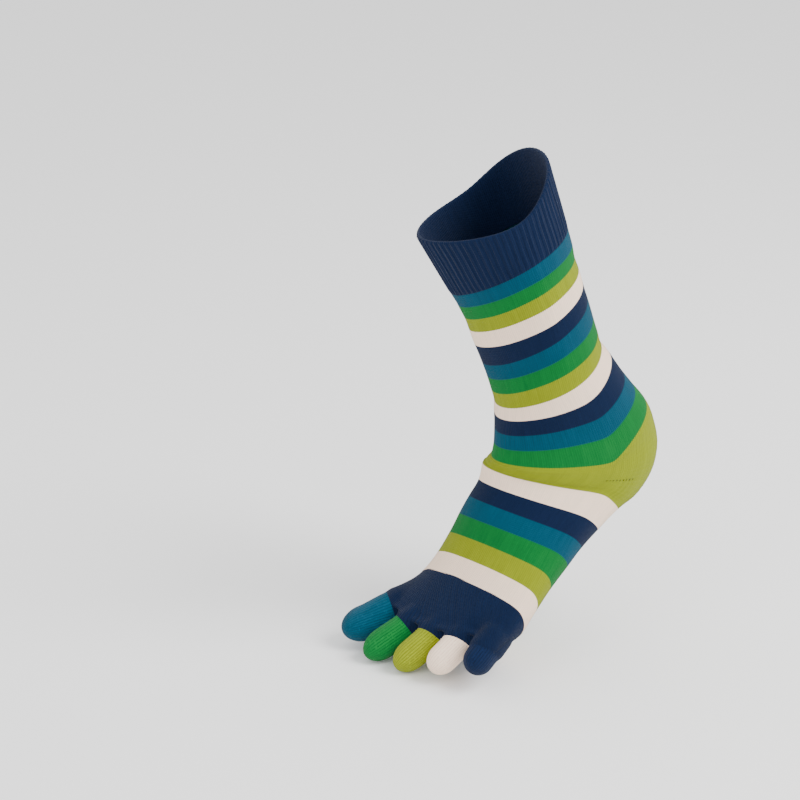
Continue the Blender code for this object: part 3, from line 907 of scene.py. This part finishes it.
@dataclass
class ToeBox:
    """The ball of the foot and the five toes, knitted as one form and parted by yarn."""

    voxel: float = 0.0009
    smoothing: int = 20
    bag_turns: int = 180
    cap: tuple[tuple[float, float], ...] = ((0.94, 0.032), (0.78, 0.060), (0.46, 0.077))
    cap_reach: float = 0.083
    last_stripe: str = "edge_19"
    overlap: float = 0.6
    border_reach: float = 0.25
    tuck_place: float = 0.04
    tuck_depth: float = 0.00012
    dent_start: float = 0.12
    dent_length: float = 0.011
    dent_depth: float = 0.0022
    dent_reach: float = 0.0042
    cut_reach: float = 0.12
    cut_girth: float = 1.5
    toe_girth: float = 1.6

    def bag(self) -> bpy.types.Object:
        """The foot's front end as a closed bag that starts behind the last stripe."""
        start, end = FORM.places[self.last_stripe] - self.overlap, FORM.places["toe_line"]
        n = self.bag_turns
        turns = np.arange(n) * 2 * pi / n
        place, turn = np.meshgrid(np.linspace(start, end, 40), turns, indexing="ij")
        rings = list(FORM.point(place, turn))
        middle = rings[-1].mean(axis=0)
        before = FORM.point(np.full(n, end - 0.5), turns).mean(axis=0)
        onward = (middle - before) / np.linalg.norm(middle - before)
        front = rings[-1]
        for share, reach in self.cap:
            rings.append(middle + (front - middle) * share + onward * reach * FOOT_LENGTH)
        flat = np.concatenate(rings).tolist()
        faces = [(r * n + k, (r + 1) * n + k, (r + 1) * n + (k + 1) % n, r * n + (k + 1) % n)
                 for r in range(len(rings) - 1) for k in range(n)]
        flat += [rings[0].mean(axis=0).tolist(), (middle + onward * self.cap_reach * FOOT_LENGTH).tolist()]
        tail, tip = len(flat) - 2, len(flat) - 1
        faces += [(k, (k + 1) % n, tail) for k in range(n)]
        faces += [((len(rings) - 1) * n + (k + 1) % n, (len(rings) - 1) * n + k, tip) for k in range(n)]
        return add_mesh("foot_bag", flat, faces)

    @staticmethod
    def apply(piece: bpy.types.Object, kind: str, **settings: object) -> None:
        """Adds a modifier to a piece with its settings and applies it."""
        change = piece.modifiers.new(kind.lower(), kind)
        for key, value in settings.items():
            setattr(change, key, value)
        bpy.context.view_layer.objects.active = piece
        bpy.ops.object.modifier_apply(modifier=change.name)

    def merged(self) -> bpy.types.Object:
        """The bag and the toes as one smooth skin."""
        bodies = [self.bag()] + [toe.body() for toe in TOES]
        for body in bodies:
            skin = bmesh.new()
            skin.from_mesh(body.data)
            bmesh.ops.recalc_face_normals(skin, faces=skin.faces)
            skin.to_mesh(body.data)
            skin.free()
        bpy.ops.object.select_all(action="DESELECT")
        for body in bodies:
            body.select_set(True)
        bpy.context.view_layer.objects.active = bodies[0]
        bpy.ops.object.join()
        whole = bpy.context.view_layer.objects.active
        self.apply(whole, "REMESH", mode="VOXEL", voxel_size=self.voxel)
        self.apply(whole, "SMOOTH", factor=0.5, iterations=self.smoothing)
        self.press(whole)
        return whole

    def press(self, whole: bpy.types.Object) -> None:
        """Presses the shallow fold that runs back from between the fourth and the little toe.

        Args:
            whole: the joined skin, which is changed.
        """
        fourth, little = TOES[3].axis, TOES[4].axis
        top = (fourth["top"] + little["top"]) / 2
        behind = fourth["direction"] * -self.dent_start * fourth["length"]
        start = (fourth["root"] + little["root"]) / 2 + behind + top * fourth["high"] * 0.9
        back = -(fourth["direction"] + little["direction"]) / 2
        spots = np.empty(len(whole.data.vertices) * 3)
        whole.data.vertices.foreach_get("co", spots)
        spots = spots.reshape(-1, 3)
        away = spots - start
        along = np.clip(away @ back, 0.0, self.dent_length)
        near = np.linalg.norm(away - along[:, None] * back, axis=1)
        fade = 1 - 0.7 * along / self.dent_length
        spots = spots - top * (self.dent_depth * np.exp(-(near / self.dent_reach) ** 2) * fade)[:, None]
        whole.data.vertices.foreach_set("co", spots.ravel())
        whole.data.update()

    def nearest(self, points: np.ndarray) -> tuple[np.ndarray, np.ndarray]:
        """The place and turn of the foot's surface nearest to each point.

        Args:
            points: points of the skin.

        Returns:
            A place and a turn for each point.
        """
        places = np.linspace(FORM.places[self.last_stripe] - 0.8, FORM.places["toe_line"], 110)
        place, turn = np.meshgrid(places, np.radians(np.arange(360)), indexing="ij")
        samples = FORM.point(place, turn).reshape(-1, 3)
        tree = KDTree(len(samples))
        for index, sample in enumerate(samples.tolist()):
            tree.insert(sample, index)
        tree.balance()
        found = np.array([tree.find(point)[1] for point in points.tolist()])
        return place.ravel()[found], turn.ravel()[found]

    def build(self) -> list[bpy.types.Object]:
        """The forefoot and the five toes.

        Returns:
            The six new objects, in their finishes.
        """
        for toe in TOES:
            toe.place_axis()
        whole = self.merged()
        skin = bmesh.new()
        skin.from_mesh(whole.data)
        bpy.data.objects.remove(whole, do_unlink=True)
        self.cut_toes(skin)
        skin.verts.index_update()
        points = np.array([vert.co[:] for vert in skin.verts])
        owner = self.owners(np.array([face.calc_center_median()[:] for face in skin.faces]))
        place, turn = self.nearest(points)
        faces = [[vert.index for vert in face.verts] for face in skin.faces]
        skin.free()
        edge = FORM.places[self.last_stripe]
        behind = np.array([place[face].max() < edge for face in faces])
        made = []
        for index, (node, yarn) in enumerate([("forefoot", NAVY)] + [(toe.node, toe.yarn) for toe in TOES]):
            chosen = [face for face, who, back in zip(faces, owner, behind) if who == index and not back]
            made.append(self.part(node, yarn, index, chosen, points, place, turn))
        return made

    def cut_toes(self, skin: bmesh.types.BMesh) -> None:
        """Cuts a clean edge round each toe where its own yarn begins."""
        for toe in TOES:
            a = toe.axis
            spot = Vector(a["root"] + a["direction"] * (toe.start * a["length"]))
            centres = np.array([face.calc_center_median()[:] for face in skin.faces])
            others = np.min([other.distance(centres) for other in TOES], axis=0)
            near = (toe.distance(centres) <= others + 1e-9) & (np.abs(toe.beyond(centres)) < self.cut_reach)
            near &= toe.distance(centres) < self.cut_girth
            normal = Vector(a["direction"] / a["length"] - a["side"] * toe.skew / a["wide"]).normalized()
            chosen = [face for face, take in zip(skin.faces, near) if take]
            rim = list({edge for face in chosen for edge in face.edges})
            verts = list({vert for face in chosen for vert in face.verts})
            around = verts + rim + chosen
            bmesh.ops.bisect_plane(skin, geom=around, plane_co=spot, plane_no=normal, dist=1e-5)
            skin.faces.index_update()

    def owners(self, centres: np.ndarray) -> np.ndarray:
        """Which piece each face belongs to: 0 for the forefoot, 1 to 5 for the toes.

        Args:
            centres: the middle of each face.

        Returns:
            The number of the piece of each face.
        """
        distances = np.array([toe.distance(centres) for toe in TOES])
        nearest = distances.argmin(axis=0)
        owner = np.zeros(len(centres), dtype=int)
        for index, toe in enumerate(TOES):
            mine = (nearest == index) & (toe.beyond(centres) > 0) & (distances[index] < self.toe_girth)
            owner[mine] = index + 1
        return owner

    def part(self, node: str, yarn: Yarn, index: int, faces: list[list[int]], points: np.ndarray,
             place: np.ndarray, turn: np.ndarray) -> bpy.types.Object:
        """One piece of the skin with its wall and its knit coordinates.

        Args:
            node: the CAD node that the piece stands for.
            yarn: its yarn.
            index: 0 for the forefoot, 1 to 5 for the toes.
            faces: its faces, as indices of the skin's points.
            points: all points of the skin.
            place: the place on the foot nearest to each point.
            turn: the turn around the foot nearest to each point.

        Returns:
            The new object, in its finish.
        """
        used = np.array(sorted({vert for face in faces for vert in face}))
        fresh = {old: new for new, old in enumerate(used.tolist())}
        loops = [[fresh[vert] for vert in face] for face in faces]
        spots = points[used].copy()
        if index:
            knit, wales = TOES[index - 1].knit(spots), TOES[index - 1].wales
        else:
            wales = WALES
            knit = np.stack([turn[used] * WALES / (2 * pi), FORM.courses(place[used])], axis=-1)
            self.tuck(spots, loops, place[used], turn[used])
        made = add_mesh(node + "_knit", spots.tolist(), loops)
        layer = made.data.uv_layers.new(name="knit")
        corners = []
        for loop in loops:
            across = knit[loop, 0]
            across = np.where(across.max() - across > wales / 2, across + wales, across)
            corners.append(np.stack([across, knit[loop, 1]], axis=-1))
        layer.data.foreach_set("uv", np.concatenate(corners).astype(np.float32).ravel())
        made.data.shade_smooth()
        self.apply(made, "SOLIDIFY", thickness=WALL, offset=-1.0, use_rim=True)
        made.data.set_sharp_from_angle(angle=radians(TOE_SHARPNESS))
        return finish_piece(made, node, yarn, Stitch.TOE if index else Stitch.PLAIN)

    def tuck(self, spots: np.ndarray, loops: list[list[int]], place: np.ndarray, turn: np.ndarray) -> None:
        """Moves the forefoot's back border just under the edge of the last stripe.

        Args:
            spots: the forefoot's points, which are moved.
            loops: its faces.
            place: the place nearest to each point.
            turn: the turn nearest to each point.
        """
        sides: dict[tuple[int, int], int] = {}
        for loop in loops:
            for first, second in zip(loop, loop[1:] + loop[:1]):
                key = (min(first, second), max(first, second))
                sides[key] = sides.get(key, 0) + 1
        border = {vert for key, times in sides.items() if times == 1 for vert in key}
        edge = FORM.places[self.last_stripe]
        under = np.array([edge - self.tuck_place])
        for vert in border:
            if abs(place[vert] - edge) < self.border_reach:
                around = turn[vert:vert + 1]
                spots[vert] = (FORM.point(under, around) - FORM.normal(under, around) * self.tuck_depth)[0]


@dataclass
class Studio:
    """The pale floor, the soft light and the camera."""

    azimuth: float = 70.0
    elevation: float = 21.0
    distance: float = 1.150
    aim_right: float = -0.112
    aim_up: float = 0.037
    lens: float = 85.0
    floor_height: float = -0.2862
    floor_size: float = 40.0
    floor_shade: float = 0.95
    sky_strength: float = 1.40
    lights_aim: tuple[float, float, float] = (0.0, 0.0, -0.13)

    def directions(self) -> tuple[Vector, Vector, Vector]:
        """The camera's right, up and backward directions."""
        turn, rise = radians(self.azimuth), radians(self.elevation)
        right = Vector((cos(turn), sin(turn), 0.0))
        back = Vector((sin(turn) * cos(rise), -cos(turn) * cos(rise), sin(rise)))
        return right, back.cross(right), back

    def camera(self) -> None:
        """The camera at the photograph's angle."""
        right, up, back = self.directions()
        aim = Vector(-FORM.origin) + right * self.aim_right + up * self.aim_up
        data = bpy.data.cameras.new("camera")
        data.lens = self.lens
        data.sensor_width = 36.0
        data.clip_end = 50.0
        made = add_object("camera", data)
        made.matrix_world = Matrix.Translation(aim + back * self.distance) @ Matrix(
            (right, up, back)).transposed().to_4x4()
        bpy.context.scene.camera = made

    def floor(self) -> None:
        """A wide pale floor under the toes."""
        bpy.ops.object.select_all(action="DESELECT")
        bpy.ops.mesh.primitive_plane_add(size=self.floor_size, location=(0.0, 0.0, self.floor_height))
        made = bpy.context.active_object
        made.name = "floor"
        paint = bpy.data.materials.new("pale_floor")
        paint.use_nodes = True
        shader = paint.node_tree.nodes["Principled BSDF"]
        shader.inputs["Base Color"].default_value = (*(self.floor_shade,) * 3, 1.0)
        shader.inputs["Roughness"].default_value = 0.95
        shader.inputs["Specular IOR Level"].default_value = 0.0
        made.data.materials.append(paint)

    def light(self, name: str, side: float, rise: float, toward: float, size: float, power: float) -> None:
        """One soft area light that faces the sock.

        Args:
            name: the light's name.
            side: how far it stands to the camera's right, in metres.
            rise: how high it stands above the leg opening.
            toward: how far it stands toward the camera.
            size: its diameter.
            power: its power in watts.
        """
        right, _, back = self.directions()
        flat = Vector((back.x, back.y, 0.0)).normalized()
        spot = right * side + Vector((0.0, 0.0, rise)) + flat * toward
        data = bpy.data.lights.new(name, "AREA")
        data.shape = "DISK"
        data.size = size
        data.energy = power
        made = add_object(name, data)
        aim = Vector(self.lights_aim) - spot
        made.matrix_world = Matrix.Translation(spot) @ aim.to_track_quat("-Z", "Y").to_matrix().to_4x4()

    def build(self) -> None:
        """Floor, world, lights and camera."""
        self.camera()
        self.floor()
        world = bpy.data.worlds.new("studio")
        world.use_nodes = True
        world.node_tree.nodes["Background"].inputs[0].default_value = (1.0, 1.0, 1.0, 1.0)
        world.node_tree.nodes["Background"].inputs[1].default_value = self.sky_strength
        bpy.context.scene.world = world
        self.light("key", 1.1, 1.1, 0.5, 1.0, 34.0)
        self.light("fill", -1.2, 0.6, 1.3, 1.2, 8.0)
        LOG.info("studio ready")


def sock_bands() -> list[Band]:
    """The bands from the cuff to the last stripe of the foot."""
    order = (TEAL, GREEN, LIME, CREAM, NAVY)
    bands: list[Band] = [Cuff("cuff", "rim", "edge_0", NAVY, CUFF_WALL, Stitch.RIB)]
    for index in range(12):
        yarn = order[index % len(order)]
        bands.append(Band(f"leg_band_{index + 1:02d}", f"edge_{index}", f"edge_{index + 1}", yarn))
    bands.append(Band("heel_pocket", "edge_12", "edge_13", LIME, stitch=Stitch.HEEL))
    for index, yarn in enumerate((CREAM, NAVY, TEAL, GREEN, LIME, CREAM)):
        bands.append(Band(f"foot_band_{index + 1:02d}", f"edge_{index + 13}", f"edge_{index + 14}", yarn))
    return bands


def main() -> None:
    """Builds the sock and its studio."""
    logging.basicConfig(level=logging.INFO, format="%(message)s")
    for band in sock_bands():
        band.build()
    ToeBox().build()
    Studio().build()


if __name__ == "__main__":
    main()
